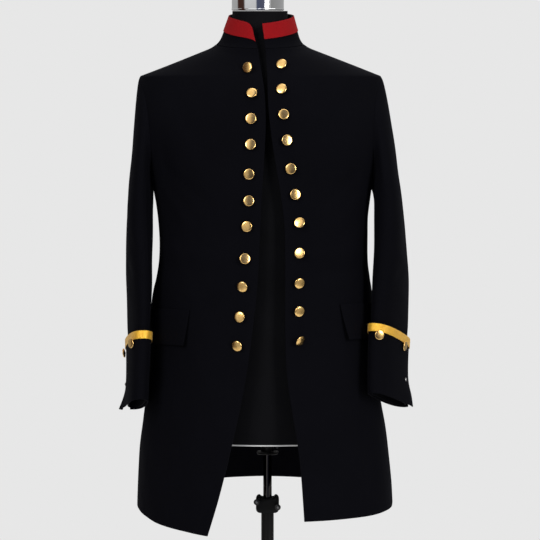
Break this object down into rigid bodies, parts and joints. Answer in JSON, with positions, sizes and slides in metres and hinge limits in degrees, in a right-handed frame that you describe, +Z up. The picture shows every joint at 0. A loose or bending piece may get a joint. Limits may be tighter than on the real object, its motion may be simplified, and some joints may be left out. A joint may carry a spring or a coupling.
{
  "type": "hussar coat on a dress form",
  "caption": "Long black wool hussar coat worn open on a limbless dress form: red-banded stand collar, gilt buttons down both fronts, deep braided cuffs; round-based pole stand.",
  "frame": {"origin": "centre of the underside of the stand's round base, on the floor", "axes": "+Z up along the stand's pole, -Y out of the coat's front, +X towards the wearer's left"},
  "size_m": [0.5542, 0.36, 1.5413],
  "materials": {
    "wool": "matt black wool melton",
    "red_cloth": "matt red wool facing cloth",
    "braid": "satin gold braid",
    "gilt": "polished gilt",
    "steel": "nickel-plated",
    "jersey": "matt black jersey cover",
    "rim": "pale silver edge trim",
    "chrome": "polished",
    "dark_chrome": "polished dark chrome",
    "black_metal": "black enamel"
  },
  "bodies": {
    "stand": {"pole_outer": "black_metal", "clamp": "black_metal", "clamp_screw_right": "black_metal", "clamp_screw_left": "black_metal", "base": "black_metal"},
    "pole": {"pole_inner": "dark_chrome"},
    "dressed_form": {"front_right": "wool", "front_left": "wool", "side_body_right": "wool", "side_body_left": "wool", "back_right": "wool", "back_left": "wool", "collar": "wool", "sleeve_top_right": "wool", "sleeve_top_left": "wool", "sleeve_under_right": "wool", "sleeve_under_left": "wool", "cuff_right": "wool", "cuff_left": "wool", "pocket_flap_right": "wool", "pocket_flap_left": "wool", "collar_band": "red_cloth", "cuff_braid_right": "braid", "cuff_snap_right": "steel", "button_cuff_right_1": "gilt", "button_cuff_right_2": "gilt", "button_right_01": "gilt", "button_right_02": "gilt", "button_right_03": "gilt", "button_right_04": "gilt", "button_right_05": "gilt", "button_right_06": "gilt", "button_right_07": "gilt", "button_right_08": "gilt", "button_right_09": "gilt", "button_right_10": "gilt", "button_right_11": "gilt", "cuff_braid_left": "braid", "cuff_snap_left": "steel", "button_cuff_left_1": "gilt", "button_cuff_left_2": "gilt", "button_left_01": "gilt", "button_left_02": "gilt", "button_left_03": "gilt", "button_left_04": "gilt", "button_left_05": "gilt", "button_left_06": "gilt", "button_left_07": "gilt", "button_left_08": "gilt", "button_left_09": "gilt", "button_left_10": "gilt", "button_left_11": "gilt", "form_torso": "jersey", "form_rim": "rim", "form_neck_cap": "chrome", "form_flange": "black_metal", "flange_screw": "black_metal"}
  },
  "joints": [
    {"name": "pole_height", "type": "slide", "parent": "stand", "child": "pole", "axis": [0, 0, 1], "range_m": [-0.07, 0.25]},
    {"name": "form_turn", "type": "hinge", "parent": "pole", "child": "dressed_form", "pos_m": [0, 0, 0.67], "axis": [0, 0, 1], "continuous": true}
  ]
}
